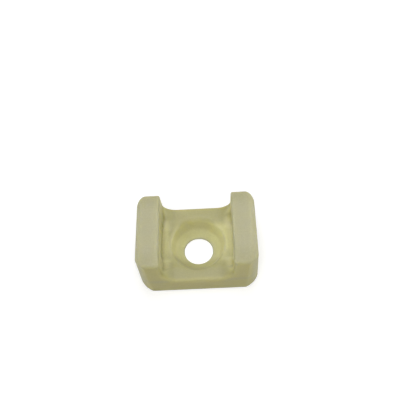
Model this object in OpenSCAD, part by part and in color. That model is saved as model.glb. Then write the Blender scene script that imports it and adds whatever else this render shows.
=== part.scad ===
// Saddle mount for cable ties: one moulded piece that a countersunk screw holds to a panel.
// X runs across the two ears, Y along the cable, Z up from the panel; the origin is at the
// centre of the underside, on the axis of the screw hole.

/* [Body] */
// Length over both ears, at the underside
body_length = 15.8; // [15.4:0.1:17]
// Depth along the cable, at the underside
body_depth = 11.2; // [10.8:0.1:12.4]
// Height of the ears, at the inner edge of their tops
ear_height = 7.3; // [6.6:0.1:7.8]
// How much lower an ear top is at its outer edge
top_fall = 0.12; // [0.05:0.01:0.2]
// Radius along the outer edge of each ear top
edge_radius = 0.9; // [0.5:0.1:1]
// Radius of the four upright corners
corner_radius = 2.8; // [1.6:0.1:2.8]
// Draft of the two long sides, in degrees
side_draft = 0.25; // [0.25:0.25:1]
// Draft of the front and rear faces, in degrees
end_draft = 2; // [1:0.25:3]

/* [Ear crown] */
// Length of the level middle stretch of an ear top, before it is blended into the slopes
crown_length = 6.8; // [5.6:0.2:7.6]
// How far the ear tops come down towards their ends
crown_drop = 0.25; // [0.2:0.05:0.4]
// Radius that blends the level stretch into the slopes
crown_blend = 5; // [3:0.5:6]
// Radius between an ear top and its end faces
end_radius = 0.5; // [0.3:0.05:0.6]

/* [Saddle] */
// Height of the saddle floor above the underside
floor_height = 2.8; // [2.4:0.1:3]
// Width between the saddle walls, at the floor
floor_width = 9.2; // [9:0.1:9.3]
// Width between the saddle walls, at the ear tops
mouth_width = 9.6; // [9.5:0.1:9.8]
// Radius between the floor and the walls
floor_fillet = 1.9; // [1.4:0.1:2.1]
// Radius along the inner edge of each ear top
lip_radius = 0.25; // [0.15:0.05:0.5]
// Radius where the saddle runs out at the front and rear faces
mouth_radius = 0.4; // [0.3:0.05:0.5]

/* [Tie way] */
// Width of the slot through each ear, for ties up to 4.8 wide
slot_width = 5.2; // [5:0.1:5.4]
// Height of the slot through each ear
slot_height = 2.1; // [1.8:0.1:2.4]
// How far the tie way lies below the saddle floor
way_depth = 0.3; // [0.2:0.05:0.5]
// Width of the tie way at the saddle floor
way_width = 7; // [6.6:0.1:7.2]
// Radius along both edges of the shoulders beside the tie way
shoulder_radius = 1.5; // [1:0.1:2]
// Lean of the flanks that end the saddle fillets at the tie way, in degrees
flank_lean = 40; // [30:1:45]
// Distance between the inner faces of the two slot bridges
bridge_gap = 9.4; // [9.3:0.05:9.5]

/* [Screw seat] */
// Diameter of the screw hole
bore_d = 3.95; // [3.6:0.05:4.2]
// Thickness of the cylindrical land at the foot of the screw hole
bore_land = 0.25; // [0.25:0.05:0.5]
// Diameter of the countersink where it meets the head well
seat_d = 6.3; // [6:0.1:6.4]
// Height at which the countersink meets the head well
seat_height = 1.2; // [1.1:0.05:1.3]
// Diameter of the head well at the saddle floor
well_d = 7.6; // [7.4:0.1:7.8]
// Radius round the rim of the head well
rim_radius = 0.9; // [0.5:0.1:1]

/* [Hidden] */
$fn = 72;

// A cutter runs this far past the face that it breaks through
over = 1;
// A fillet circle is this much larger than its radius, so that it crosses both of its sides
crossing = 1.004;
// The same at the saddle's mouths, where the faces lean by their draft
mouth_crossing = 1.04;
// The rings at the mouths are rounded a little more than the straights that they join
ring_excess = 1.01;

half_length = body_length / 2;
half_depth = body_depth / 2;
wall_lean = atan((mouth_width - floor_width) / 2 / (ear_height - floor_height));
// Where the fillet between the saddle floor and a wall has its centre
fillet_x = floor_width / 2 - floor_fillet * tan(45 - wall_lean / 2);
fillet_z = floor_height + floor_fillet;
way_floor = floor_height - way_depth;
well_slope = (well_d - seat_d) / 2 / (floor_height - seat_height);
// Radius of the two upper corners of each slot
slot_corner = 0.4;
// The straight sides of the plan stand clear of the drafted faces, so that only its corners cut
clear = 0.2;
// Cutters that join one another overlap by this much
lap = 0.1;
// The crown starts this far above the ears, so that it never lies in one face with their tops
lift = 0.02;

function unit(v) = v / norm(v);
function before(points, i) = points[(i + len(points) - 1) % len(points)];
function after(points, i) = points[(i + 1) % len(points)];

// What lies between corner b, with neighbours a and c, and a circle of radius r in that corner
module corner_waste(a, b, c, r) {
    u = unit(a - b);
    v = unit(c - b);
    half = acos(u * v) / 2;
    centre = b + unit(u + v) * r / sin(half);
    touch_u = b + u * r / tan(half);
    touch_v = b + v * r / tan(half);
    difference() {
        polygon([centre, 2 * touch_u - centre, 2 * b - centre, 2 * touch_v - centre]);
        translate(centre) circle(r * crossing);
    }
}

// Polygon with some corners rounded; each entry of rounds is [corner number, radius]
module rounded_polygon(points, rounds) {
    difference() {
        polygon(points);
        for (entry = rounds)
            corner_waste(before(points, entry[0]), points[entry[0]], after(points, entry[0]), entry[1]);
    }
}

// Opening of the saddle, seen along the cable; it runs out above the ears at the slope of its walls
module saddle_outline() {
    top = ear_height + over;
    reach = floor_width / 2 + tan(wall_lean) * (top - floor_height);
    rounded_polygon(
        [[-floor_width / 2, floor_height], [floor_width / 2, floor_height], [reach, top], [-reach, top]],
        [[0, floor_fillet], [1, floor_fillet]]);
}

// Body seen along the cable: drafted sides, ear tops that fall outwards, and the saddle
module front_outline() {
    outer_top = [half_length - tan(side_draft) * ear_height, ear_height - top_fall];
    inner_top = [mouth_width / 2, ear_height];
    floor_end = [floor_width / 2, floor_height];
    difference() {
        rounded_polygon(
            [[-half_length, 0], [half_length, 0], outer_top, inner_top, [0, ear_height],
                [-inner_top[0], inner_top[1]], [-outer_top[0], outer_top[1]]],
            [[2, edge_radius], [6, edge_radius]]);
        saddle_outline();
        for (side = [0, 1])
            mirror([side, 0, 0]) corner_waste(outer_top, inner_top, floor_end, lip_radius);
    }
}

// Body seen across the ears: drafted ends and a top that is crowned towards both of them
module side_outline() {
    end_y = half_depth - tan(end_draft) * ear_height;
    level_y = crown_length / 2;
    level_z = ear_height + lift;
    end_z = ear_height - crown_drop;
    rounded_polygon(
        [[-half_depth, 0], [half_depth, 0], [end_y, end_z],
            [level_y, level_z], [-level_y, level_z], [-end_y, end_z]],
        [[2, end_radius], [3, crown_blend], [4, crown_blend], [5, end_radius]]);
}

// Body seen from above, with its four upright corners
module plan_outline() {
    x = half_length + clear;
    y = half_depth + clear;
    corner = corner_radius + clear;
    rounded_polygon([[-x, -y], [x, -y], [x, y], [-x, y]],
        [[0, corner], [1, corner], [2, corner], [3, corner]]);
}

module body_block() {
    intersection() {
        rotate([90, 0, 0])
            linear_extrude(body_depth + 2 * over, center = true) front_outline();
        rotate([90, 0, 90])
            linear_extrude(body_length + 2 * over, center = true) side_outline();
        translate([0, 0, -over])
            linear_extrude(ear_height + 2 * over) plan_outline();
    }
}

// What is cut from an edge of the given radius: x is the depth below one face, y below the other
module edge_waste(r) {
    difference() {
        translate([-r, -r]) square(2 * r);
        translate([r, r]) circle(r * mouth_crossing);
    }
}

// Rounds the edge that the saddle makes with a face: along its floor, fillets and walls
module saddle_mouth() {
    wall_length = ear_height / cos(wall_lean);
    translate([0, -half_depth, 0]) rotate([-end_draft, 0, 0]) {
        translate([-fillet_x, 0, floor_height])
            rotate([0, 90, 0]) linear_extrude(2 * fillet_x) edge_waste(mouth_radius);
        for (side = [0, 1])
            mirror([side, 0, 0]) translate([fillet_x, 0, fillet_z]) {
                rotate([-90, 0, 0])
                    rotate_extrude() translate([floor_fillet, 0]) edge_waste(mouth_radius * ring_excess);
                rotate([0, wall_lean, 0]) translate([floor_fillet, 0, 0])
                    linear_extrude(wall_length) edge_waste(mouth_radius);
            }
    }
}

// Level way that the tie crosses the saddle in, with a rounded shoulder on each side
module tie_way() {
    foot = [slot_width / 2, way_floor];
    brow = [way_width / 2, floor_height];
    crest = brow + [tan(flank_lean), 1] * (ear_height - floor_height + over);
    rotate([90, 0, 90]) {
        linear_extrude(bridge_gap, center = true)
            rounded_polygon(
                [[-foot[0], foot[1]], foot, brow, crest, [-crest[0], crest[1]], [-brow[0], brow[1]]],
                [[0, shoulder_radius], [1, shoulder_radius]]);
        for (side = [0, 1])
            mirror([side, 0, 0])
                linear_extrude(2 * fillet_x, center = true)
                    corner_waste(foot, brow, brow + [over, 0], shoulder_radius);
    }
}

// Slots through both ears, under their bridges
module tie_slots() {
    y = slot_width / 2;
    top = way_floor + slot_height;
    for (side = [0, 1])
        mirror([side, 0, 0]) translate([bridge_gap / 2 - lap, 0, 0]) rotate([90, 0, 90])
            linear_extrude(half_length)
                rounded_polygon([[-y, way_floor], [y, way_floor], [y, top], [-y, top]],
                    [[2, slot_corner], [3, slot_corner]]);
}

// Screw hole, its countersink and the steep well that takes the screw head, with a rounded rim
module screw_seat() {
    seat = [seat_d / 2, seat_height];
    rim = [well_d / 2, floor_height];
    above = rim + [well_slope, 1] * over;
    rotate_extrude() {
        polygon([[0, bore_land], [bore_d / 2, bore_land], seat, above, [0, above[1]]]);
        corner_waste(seat, rim, rim + [over, 0], rim_radius);
    }
    translate([0, 0, -over]) cylinder(h = bore_land + 2 * over, d = bore_d);
}

module saddle_mount() {
    color([0.87, 0.85, 0.66])
        difference() {
            body_block();
            for (end = [0, 1])
                mirror([0, end, 0]) saddle_mouth();
            tie_way();
            tie_slots();
            screw_seat();
        }
}

saddle_mount();
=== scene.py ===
import math

import bpy
from mathutils import Matrix, Vector


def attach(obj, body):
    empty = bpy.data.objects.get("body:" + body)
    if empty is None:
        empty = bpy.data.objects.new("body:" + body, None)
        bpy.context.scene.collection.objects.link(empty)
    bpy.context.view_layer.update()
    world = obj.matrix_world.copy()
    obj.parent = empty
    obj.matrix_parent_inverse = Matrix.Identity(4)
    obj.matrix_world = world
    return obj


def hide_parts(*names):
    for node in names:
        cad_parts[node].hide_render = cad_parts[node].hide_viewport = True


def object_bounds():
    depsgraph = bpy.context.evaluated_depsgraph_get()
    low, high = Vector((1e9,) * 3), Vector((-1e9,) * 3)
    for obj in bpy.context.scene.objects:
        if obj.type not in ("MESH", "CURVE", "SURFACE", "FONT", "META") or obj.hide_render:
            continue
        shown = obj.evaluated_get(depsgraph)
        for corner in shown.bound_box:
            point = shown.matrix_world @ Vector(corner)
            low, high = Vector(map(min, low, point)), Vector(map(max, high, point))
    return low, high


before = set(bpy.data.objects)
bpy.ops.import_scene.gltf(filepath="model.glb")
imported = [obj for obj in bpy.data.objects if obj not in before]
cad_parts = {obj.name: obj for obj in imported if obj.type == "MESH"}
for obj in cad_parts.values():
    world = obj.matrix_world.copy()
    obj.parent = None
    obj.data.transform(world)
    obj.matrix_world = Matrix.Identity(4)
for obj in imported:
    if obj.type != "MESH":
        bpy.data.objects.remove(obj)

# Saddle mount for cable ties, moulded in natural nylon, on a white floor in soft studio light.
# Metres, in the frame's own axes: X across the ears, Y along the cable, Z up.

MM = 0.001
WHITE = (1, 1, 1, 1)
# The camera and the lamps look at this share of the mount's height
MIDDLE_LEVEL = 0.43

cad_low, cad_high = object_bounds()
size = cad_high - cad_low
middle = Vector((0, 0, MIDDLE_LEVEL * size.z))


# Mesh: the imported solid, remeshed finely and relaxed so that every edge has a moulded radius

VOXEL = 0.094 * MM
RELAX_FACTOR = 0.5
EDGE_RELAX_STEPS = 6
FLOOR_RELAX_STEPS = 24
# The saddle floor with its screw seat, in mm: no weight at the first value, all at the second
FLOOR_ACROSS = (4.9, 4.4)
FLOOR_ALONG = (5.1, 4.7)
FLOOR_HEIGHT = (0.6, 1.2)
# A trial relaxing finds the edges. It moves one of 0.3 mm radius about this far, which counts as 1
PROBE_STEPS = 40
EDGE_DEPTH = 0.05 * MM


def add_relax(piece, name, steps, group=""):
    relax = piece.modifiers.new(name, "SMOOTH")
    relax.factor = RELAX_FACTOR
    relax.iterations = steps
    relax.vertex_group = group


def evaluated(piece):
    """The piece with its modifiers worked out."""
    bpy.context.view_layer.update()
    return piece.evaluated_get(bpy.context.evaluated_depsgraph_get())


def apply_modifiers(piece):
    mesh = bpy.data.meshes.new_from_object(evaluated(piece))
    piece.modifiers.clear()
    piece.data = mesh


def fade_between(value, start, end):
    return min(1.0, max(0.0, (value - start) / (end - start)))


def weigh_floor(piece, group):
    for vertex in piece.data.vertices:
        x, y, z = vertex.co / MM
        weight = (fade_between(abs(x), *FLOOR_ACROSS)
                  * fade_between(abs(y), *FLOOR_ALONG)
                  * fade_between(z, *FLOOR_HEIGHT))
        if weight > 0:
            group.add([vertex.index], weight, "REPLACE")


def mark_edges(piece):
    """Writes the attribute "edge": about 1 on an outer edge, 0 on a flat, below 0 in a hollow."""
    add_relax(piece, "probe", PROBE_STEPS)
    relaxed = evaluated(piece).data.vertices
    moved = [vertex.co - relaxed[vertex.index].co for vertex in piece.data.vertices]
    piece.modifiers.clear()
    edge = piece.data.attributes.new("edge", "FLOAT", "POINT").data
    for vertex in piece.data.vertices:
        edge[vertex.index].value = moved[vertex.index].dot(vertex.normal) / EDGE_DEPTH


def soft_edged_copy(node, name):
    """The node's solid as one even mesh with moulded edges, the softest ones on its floor."""
    piece = node.copy()
    piece.data = node.data.copy()
    piece.name = name
    # The copy is a piece of its own, so it keeps none of the node's marks
    for key in list(piece.keys()):
        del piece[key]
    piece.parent = None
    bpy.context.scene.collection.objects.link(piece)
    remesh = piece.modifiers.new("even", "REMESH")
    remesh.mode = "VOXEL"
    remesh.voxel_size = VOXEL
    remesh.use_smooth_shade = True
    add_relax(piece, "edges", EDGE_RELAX_STEPS)
    apply_modifiers(piece)
    floor = piece.vertex_groups.new(name="floor")
    weigh_floor(piece, floor)
    add_relax(piece, "floor", FLOOR_RELAX_STEPS, floor.name)
    apply_modifiers(piece)
    piece.vertex_groups.clear()
    mark_edges(piece)
    piece.data.name = name
    return piece


# Shader nodes: a thin layer of helpers, so that a material reads as a list of steps

class NodeTree:
    def __init__(self, tree):
        self.nodes = tree.nodes
        self.links = tree.links
        self.nodes.clear()

    def add(self, kind, **settings):
        node = self.nodes.new(kind)
        for key, value in settings.items():
            setattr(node, key, value)
        return node

    def put(self, socket, value):
        """Links an output to a socket, or sets the socket's own value."""
        if isinstance(value, bpy.types.NodeSocket):
            self.links.new(value, socket)
        elif value is not None:
            socket.default_value = value

    def math(self, operation, a, b=None, clamp=False):
        node = self.add("ShaderNodeMath", operation=operation, use_clamp=clamp)
        self.put(node.inputs[0], a)
        self.put(node.inputs[1], b)
        return node.outputs[0]

    def times(self, *factors, clamp=False):
        """The product of the factors; clamp keeps it between 0 and 1."""
        product = factors[0]
        for i, factor in enumerate(factors[1:], start=2):
            product = self.math("MULTIPLY", product, factor, clamp and i == len(factors))
        return product

    def fade(self, value, start, end):
        """0 up to start, 1 from end on, smooth between; start may lie above end."""
        node = self.add("ShaderNodeMapRange", interpolation_type="SMOOTHSTEP")
        self.put(node.inputs["Value"], value)
        node.inputs["From Min"].default_value = start
        node.inputs["From Max"].default_value = end
        return node.outputs["Result"]

    def span(self, value, low, high):
        """Maps 0 to 1 onto low to high."""
        node = self.add("ShaderNodeMapRange")
        self.put(node.inputs["Value"], value)
        node.inputs["To Min"].default_value = low
        node.inputs["To Max"].default_value = high
        return node.outputs["Result"]

    def noise(self, vector, feature, detail):
        """Noise from 0 to 1 with features of about the given size, in the vector's own units."""
        node = self.add("ShaderNodeTexNoise")
        self.put(node.inputs["Vector"], vector)
        node.inputs["Scale"].default_value = 1 / feature
        node.inputs["Detail"].default_value = detail
        return node.outputs["Fac"]

    def stretch(self, vector, factors):
        node = self.add("ShaderNodeVectorMath", operation="MULTIPLY")
        self.put(node.inputs[0], vector)
        self.put(node.inputs[1], factors)
        return node.outputs[0]

    def mix(self, factor, a, b):
        node = self.add("ShaderNodeMix", data_type="RGBA")
        self.put(node.inputs["Factor"], factor)
        self.put(node.inputs["A"], a)
        self.put(node.inputs["B"], b)
        return node.outputs["Result"]

    def bump(self, height, distance, under=None):
        node = self.add("ShaderNodeBump")
        node.inputs["Strength"].default_value = 1.0
        node.inputs["Distance"].default_value = distance
        self.put(node.inputs["Height"], height)
        self.put(node.inputs["Normal"], under)
        return node.outputs["Normal"]

    def seen_directly(self):
        """1 on a ray from the camera, a reflection or a transmission, 0 on one that only lights."""
        path = self.add("ShaderNodeLightPath").outputs
        seen = self.math("MAXIMUM", path["Is Camera Ray"], path["Is Glossy Ray"])
        return self.math("MAXIMUM", seen, path["Is Transmission Ray"])


def new_material(name):
    material = bpy.data.materials.new(name)
    material.use_nodes = True
    return material


# Nylon colours, as linear RGB
NYLON = (0.40, 0.38, 0.175, 1)
NYLON_CLOUDED = (0.378, 0.356, 0.158, 1)
NYLON_DEEP = (0.416, 0.380, 0.141, 1)
# Painted glow: the lighter colours of the tie way, the inner walls, the corners and the screw seat
# stand in for light through the thin nylon
NYLON_WAY_PAINTED_GLOW = (0.60, 0.575, 0.262, 1)
NYLON_WALL_PAINTED_GLOW = (0.64, 0.615, 0.325, 1)
NYLON_CORNER_PAINTED_GLOW = (0.74, 0.71, 0.36, 1)
NYLON_SEAT_PAINTED_GLOW = (0.64, 0.615, 0.335, 1)
NYLON_SHADED = (0.33, 0.314, 0.155, 1)
# Frost on the ear tops, paler and greyer partly from painted sheen; at the ear ends less painted
# sheen, so darker
NYLON_FROST_AND_SHEEN = (0.432, 0.415, 0.262, 1)
NYLON_FROST_AND_DIMMER_SHEEN = (0.375, 0.358, 0.215, 1)
NYLON_WORN_AND_DARKENED = (0.337, 0.322, 0.185, 1)
NYLON_SCRATCHED = (0.46, 0.445, 0.27, 1)

# Places on the mount. Each row fades one measure, in mm, from 0 at the first value to 1 at the
# second, and a place is the product of its rows. The measures: x, y and z; across and along, which
# are x and y without their sign; radius, from the screw's axis; and drop, which is z above the ear
# tops and so negative on the mount.
PLACES = {
    "right": (("x", -4.0, 4.0),),
    "front": (("y", -0.5, -2.2),),
    "seat": (("radius", 4.3, 3.6), ("z", 2.72, 2.3)),
    "seat_rim": (("radius", 2.6, 3.4),),
    "seat_front": (("y", -0.8, -2.4),),
    "seat_rear": (("y", 0.8, 2.4),),
    "way": (("along", 3.5, 2.4), ("z", 3.6, 2.6)),
    "way_reach": (("across", 6.5, 4.9),),
    "way_ends": (("across", 3.6, 4.4),),
    "wall": (("across", 5.05, 4.8), ("along", 5.2, 4.4), ("z", 2.75, 4.2)),
    "nook": (("across", 3.4, 4.4), ("across", 5.2, 4.9), ("along", 4.3, 3.4), ("along", 1.9, 2.5),
             ("z", 4.6, 3.6)),
    "corner": (("across", 3.9, 4.6), ("across", 4.9, 4.7), ("along", 3.2, 2.5), ("z", 3.4, 2.8)),
    "shaded": (("radius", 3.4, 2.9), ("y", 0.6, 2.0), ("x", -2.0, 0.5)),
    "ear_tops": (("drop", -0.85, -0.35), ("along", 5.6, 4.9)),
    "ear_ends": (("along", 2.4, 4.8),),
    "end_faces": (("along", 4.9, 5.3), ("drop", -0.3, -1.0)),
    "front_edge": (("y", -3.4, -4.4), ("z", 3.4, 2.9), ("z", 2.3, 2.6)),
}

# Uneven light that the photo shows and that is painted here, though a real mount has one colour on
# both sides: the levels at the left ear and at the right ear
SEAT_SIDES = (0.9, 1.35)
WAY_SIDES = (0.85, 1.0)
WAY_MIDDLE_SIDES = (0.1, 0.9)
WALL_SIDES = (0.8, 1.1)
NOOK_SIDES = (0.82, 1.0)
# The same, from front to rear: what is left at the front, and the part lost at the seat's rear
FRONT_LEVEL = 0.5
SEAT_REAR_LOSS = 0.5
# How strong the mask of a place is at its fullest; for the cone, what is left inside the seat's rim
CONE_LEVEL = 0.68
CORNER_LEVEL = 0.42
SHADED_LEVEL = 0.45
WORN_LEVEL = 0.6
FRONT_EDGE_LEVEL = 0.35
SCRATCH_LEVEL = 0.4

# Sizes of the patterns, in mm
PATCH_SIZE = 3.0
SWELL_SIZE = 2.4
CLOUD_SIZE = 1.1
WEAR_SIZE = 0.8
SPECKLE_SIZE = 0.22
GRAIN_SIZE = 0.16
SCRATCH_SIZE = 0.1
# A scratch is the noise squeezed along one axis, and shows where the noise is above these values
SCRATCH_SQUEEZE = 0.08
SCRATCH_ALONG = (0.66, 0.74)
SCRATCH_ACROSS = (0.68, 0.76)
# How far the patterns change what they act on
FROST_CLOUDING = (0.75, 1.25)
WEAR_CLOUDING = (0.6, 1.1)
SPECKLING = (0.9, 1.1)
SCRATCHES_OFF_FROST = 0.3
# Values of the attribute "edge" between which wear and hollows set in
WORN_EDGE = (0.25, 0.9)
HOLLOW_EDGE = (-0.2, -1.0)

ROUGHNESS = (0.42, 0.56)
FROST_ROUGHNESS = 0.12
WORN_ROUGHNESS = 0.06
SCRATCH_SHINE = 0.08
HOLLOW_SHINE = 0.04
SWELL_HEIGHT = 0.05 * MM
GRAIN_HEIGHT = 0.03 * MM
SCRATCH_DEPTH = 0.006 * MM
NYLON_IOR = 1.53
# How far light travels under the surface: the scale, and its shares of red, green and blue
LIGHT_REACH = 3.5 * MM
LIGHT_SHARES = (1.0, 0.95, 0.5)


def nylon():
    material = new_material("natural_nylon")
    tree = NodeTree(material.node_tree)
    spot = tree.stretch(tree.add("ShaderNodeTexCoord").outputs["Object"], (1 / MM,) * 3)
    axes = tree.add("ShaderNodeSeparateXYZ")
    tree.put(axes.inputs[0], spot)
    x, y, z = axes.outputs
    squares = tree.math("ADD", tree.times(x, x), tree.times(y, y))
    measures = {
        "x": x,
        "y": y,
        "z": z,
        "across": tree.math("ABSOLUTE", x),
        "along": tree.math("ABSOLUTE", y),
        "radius": tree.math("SQRT", squares),
        "drop": tree.math("SUBTRACT", z, size.z / MM),
    }

    def place(name):
        return tree.times(*(tree.fade(measures[measure], start, end)
                            for measure, start, end in PLACES[name]))

    # The inside of the saddle is painted lighter than the rest, as it is in the photo, where light
    # through the thin nylon is the likely cause; the rear right of the screw seat is darker
    right = place("right")
    front = tree.span(place("front"), 1.0, FRONT_LEVEL)
    # Painted glow on the screw seat: weaker inside its rim and at its front and rear, stronger on
    # the right
    cone = tree.span(place("seat_rim"), CONE_LEVEL, 1.0)
    seat_loss = tree.math("MAXIMUM", place("seat_front"),
                          tree.times(place("seat_rear"), SEAT_REAR_LOSS))
    seat = tree.times(place("seat"), cone, tree.math("SUBTRACT", 1.0, seat_loss),
                      tree.span(right, *SEAT_SIDES), clamp=True)
    # Painted glow along the tie way, less at the front and stronger on the right
    way_middle = tree.math("MAXIMUM", place("way_ends"), tree.span(right, *WAY_MIDDLE_SIDES))
    way = tree.times(place("way"), front, place("way_reach"), way_middle,
                     tree.span(right, *WAY_SIDES))
    # Painted glow on the inner walls and in the nooks beside the slots, stronger on the right
    nook = tree.times(place("nook"), tree.span(right, *NOOK_SIDES))
    wall = tree.times(place("wall"), tree.span(right, *WALL_SIDES))
    wall = tree.math("MAXIMUM", nook, wall, clamp=True)
    # Painted glow in the corners beside the slots, less at the front
    corner = tree.times(place("corner"), front, CORNER_LEVEL)
    shaded = tree.times(place("shaded"), SHADED_LEVEL)

    # The tops of the ears are scuffed to a frost that breaks up towards their edges; its pale grey
    # colour is partly painted sheen, with less painted sheen and darker at the ear ends
    cloud = tree.noise(spot, CLOUD_SIZE, detail=3.0)
    frost_and_sheen = tree.times(place("ear_tops"), tree.span(cloud, *FROST_CLOUDING), clamp=True)
    frost_and_sheen_colour = tree.mix(place("ear_ends"), NYLON_FROST_AND_SHEEN, NYLON_FROST_AND_DIMMER_SHEEN)

    # Edges are worn, most where the noise lets them, and the front edge of the saddle floor is
    # darkened with the same colour; hollows are left as they were moulded
    edge = tree.add("ShaderNodeAttribute", attribute_name="edge").outputs["Fac"]
    worn = tree.times(tree.fade(edge, *WORN_EDGE),
                      tree.span(tree.noise(spot, WEAR_SIZE, detail=3.0), *WEAR_CLOUDING))
    worn_and_darkened = tree.math("MAXIMUM", tree.times(worn, WORN_LEVEL),
                       tree.times(place("front_edge"), FRONT_EDGE_LEVEL))
    hollow = tree.fade(edge, *HOLLOW_EDGE)

    # Fine scratches run in two directions
    lines_along = tree.noise(tree.stretch(spot, (1.0, SCRATCH_SQUEEZE, 1.0)), SCRATCH_SIZE,
                             detail=0.0)
    lines_across = tree.noise(tree.stretch(spot, (SCRATCH_SQUEEZE, 1.0, 1.0)), SCRATCH_SIZE,
                              detail=0.0)
    scratch = tree.math("MAXIMUM", tree.fade(lines_along, *SCRATCH_ALONG),
                        tree.fade(lines_across, *SCRATCH_ACROSS))
    scratch = tree.times(scratch, tree.span(frost_and_sheen, SCRATCHES_OFF_FROST, 1.0))

    # The end faces are painted a deeper, more saturated yellow, standing in for the sheen they lack
    colour = tree.mix(tree.noise(spot, PATCH_SIZE, detail=2.0), NYLON_CLOUDED, NYLON)
    colour = tree.mix(place("end_faces"), colour, NYLON_DEEP)
    colour = tree.mix(shaded, colour, NYLON_SHADED)
    colour = tree.mix(way, colour, NYLON_WAY_PAINTED_GLOW)
    colour = tree.mix(wall, colour, NYLON_WALL_PAINTED_GLOW)
    colour = tree.mix(seat, colour, NYLON_SEAT_PAINTED_GLOW)
    colour = tree.mix(corner, colour, NYLON_CORNER_PAINTED_GLOW)
    colour = tree.mix(frost_and_sheen, colour, frost_and_sheen_colour)
    colour = tree.mix(worn_and_darkened, colour, NYLON_WORN_AND_DARKENED)
    colour = tree.mix(tree.times(scratch, SCRATCH_LEVEL), colour, NYLON_SCRATCHED)
    speckle = tree.span(tree.noise(spot, SPECKLE_SIZE, detail=3.0), *SPECKLING)
    colour = tree.stretch(colour, speckle)

    roughness = tree.span(cloud, *ROUGHNESS)
    roughness = tree.math("ADD", roughness, tree.times(frost_and_sheen, FROST_ROUGHNESS))
    roughness = tree.math("ADD", roughness, tree.times(worn, WORN_ROUGHNESS))
    roughness = tree.math("SUBTRACT", roughness, tree.times(scratch, SCRATCH_SHINE))
    roughness = tree.math("SUBTRACT", roughness, tree.times(hollow, HOLLOW_SHINE))

    relief = tree.bump(tree.noise(spot, SWELL_SIZE, detail=1.0), SWELL_HEIGHT)
    relief = tree.bump(tree.noise(spot, GRAIN_SIZE, detail=3.0), GRAIN_HEIGHT, relief)
    relief = tree.bump(tree.times(scratch, -1.0), SCRATCH_DEPTH, relief)

    shader = tree.add("ShaderNodeBsdfPrincipled")
    tree.put(shader.inputs["Base Color"], colour)
    tree.put(shader.inputs["Roughness"], roughness)
    tree.put(shader.inputs["Normal"], relief)
    shader.inputs["IOR"].default_value = NYLON_IOR
    shader.inputs["Subsurface Weight"].default_value = 1.0
    shader.inputs["Subsurface Radius"].default_value = LIGHT_SHARES
    shader.inputs["Subsurface Scale"].default_value = LIGHT_REACH
    out = tree.add("ShaderNodeOutputMaterial")
    tree.put(out.inputs["Surface"], shader.outputs[0])
    return material


FLOOR_COLOUR = (0.7, 0.7, 0.7, 1)
# The floor glows more with the distance from the mount, so that it is white out to its horizon
GLOW_DISTANCES = (30 * MM, 150 * MM)
GLOW_LEVELS = (0.42, 1.0)


def floor_material():
    """White, and brighter where it is seen directly, so that only the shadow shows on it."""
    material = new_material("white_floor")
    tree = NodeTree(material.node_tree)
    lit = tree.add("ShaderNodeBsdfDiffuse")
    lit.inputs["Color"].default_value = FLOOR_COLOUR
    glow = tree.add("ShaderNodeEmission")
    glow.inputs["Color"].default_value = WHITE
    away = tree.add("ShaderNodeVectorMath", operation="LENGTH")
    tree.put(away.inputs[0], tree.add("ShaderNodeTexCoord").outputs["Object"])
    level = tree.span(tree.fade(away.outputs["Value"], *GLOW_DISTANCES), *GLOW_LEVELS)
    tree.put(glow.inputs["Strength"], tree.times(tree.seen_directly(), level))
    both = tree.add("ShaderNodeAddShader")
    tree.put(both.inputs[0], lit.outputs[0])
    tree.put(both.inputs[1], glow.outputs[0])
    out = tree.add("ShaderNodeOutputMaterial")
    tree.put(out.inputs["Surface"], both.outputs[0])
    return material


# Stage

# Half the floor's width, in lengths of the mount
FLOOR_REACH = 60
WORLD_LEVEL = 0.34
BOX_DISTANCE = 0.12
BOX_WIDTH = 0.06
# Soft boxes: name, direction from the mount, and how strongly each lights a surface that faces it
SOFT_BOXES = (
    ("top_box", Vector((0, 0, 1)), 0.28),
    ("front_box", Vector((0, -0.5, 0.87)), 0.32),
    ("rear_box", Vector((0, 0.5, 0.87)), 0.165),
    ("right_box", Vector((1, 0, 0.14)), 0.2),
    ("left_box", Vector((-1, 0, 0.14)), 0.08),
)


def make_floor():
    half = FLOOR_REACH * size.x
    mesh = bpy.data.meshes.new("floor")
    corners = [(-half, -half, 0), (half, -half, 0), (half, half, 0), (-half, half, 0)]
    mesh.from_pydata(corners, [], [(0, 1, 2, 3)])
    floor = bpy.data.objects.new("floor", mesh)
    bpy.context.scene.collection.objects.link(floor)
    mesh.materials.append(floor_material())


def make_world():
    """Even light from all round, which is plain white where it is seen directly."""
    world = bpy.data.worlds.new("studio")
    bpy.context.scene.world = world
    world.use_nodes = True
    tree = NodeTree(world.node_tree)
    background = tree.add("ShaderNodeBackground")
    background.inputs["Color"].default_value = WHITE
    tree.put(background.inputs["Strength"], tree.span(tree.seen_directly(), WORLD_LEVEL, 1.0))
    out = tree.add("ShaderNodeOutputWorld")
    tree.put(out.inputs["Surface"], background.outputs[0])


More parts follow.
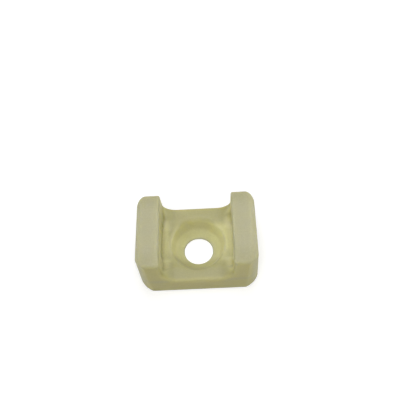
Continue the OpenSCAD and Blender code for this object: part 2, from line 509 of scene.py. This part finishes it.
def make_soft_box(name, direction, strength):
    """Square lamp aimed at the mount. It lights a surface there that faces it by about strength."""
    data = bpy.data.lights.new(name, "AREA")
    data.shape = "SQUARE"
    data.size = BOX_WIDTH
    data.energy = strength * math.pi * BOX_DISTANCE ** 2 * math.pi
    lamp = bpy.data.objects.new(name, data)
    bpy.context.scene.collection.objects.link(lamp)
    lamp.location = middle + direction.normalized() * BOX_DISTANCE
    lamp.rotation_euler = (middle - lamp.location).to_track_quat("-Z", "Y").to_euler()


# The camera stands at this angle round the middle of the mount, and looks a little past it
CAMERA_AZIMUTH = math.radians(5.84)
CAMERA_ELEVATION = math.radians(62.6)
CAMERA_ROLL = math.radians(7.9)
CAMERA_DISTANCE = 75.5 * MM
CAMERA_LENS = 50.1
CAMERA_SENSOR = 36
NEAREST_SEEN = 1 * MM
AIM_RIGHT = 0.34 * MM
AIM_UP = 5.64 * MM


def make_camera():
    back = Vector((math.sin(CAMERA_AZIMUTH) * math.cos(CAMERA_ELEVATION),
                   -math.cos(CAMERA_AZIMUTH) * math.cos(CAMERA_ELEVATION),
                   math.sin(CAMERA_ELEVATION)))
    level_right = Vector((0, 0, 1)).cross(back).normalized()
    level_up = back.cross(level_right)
    right = math.cos(CAMERA_ROLL) * level_right - math.sin(CAMERA_ROLL) * level_up
    up = math.sin(CAMERA_ROLL) * level_right + math.cos(CAMERA_ROLL) * level_up
    location = middle + back * CAMERA_DISTANCE
    back = (location - (middle + right * AIM_RIGHT + up * AIM_UP)).normalized()
    right = (right - back * right.dot(back)).normalized()
    up = back.cross(right)
    data = bpy.data.cameras.new("camera")
    data.lens = CAMERA_LENS
    data.sensor_width = CAMERA_SENSOR
    data.clip_start = NEAREST_SEEN
    camera = bpy.data.objects.new("camera", data)
    bpy.context.scene.collection.objects.link(camera)
    turn = Matrix((right, up, back)).transposed().to_4x4()
    camera.matrix_world = Matrix.Translation(location) @ turn
    bpy.context.scene.camera = camera


mount = soft_edged_copy(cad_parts["saddle_mount"], "nylon_mount")
mount.data.materials.clear()
mount.data.materials.append(nylon())
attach(mount, "root")
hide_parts("saddle_mount")

make_floor()
make_world()
for name, direction, strength in SOFT_BOXES:
    make_soft_box(name, direction, strength)
make_camera()
bpy.context.scene.view_settings.view_transform = "Standard"
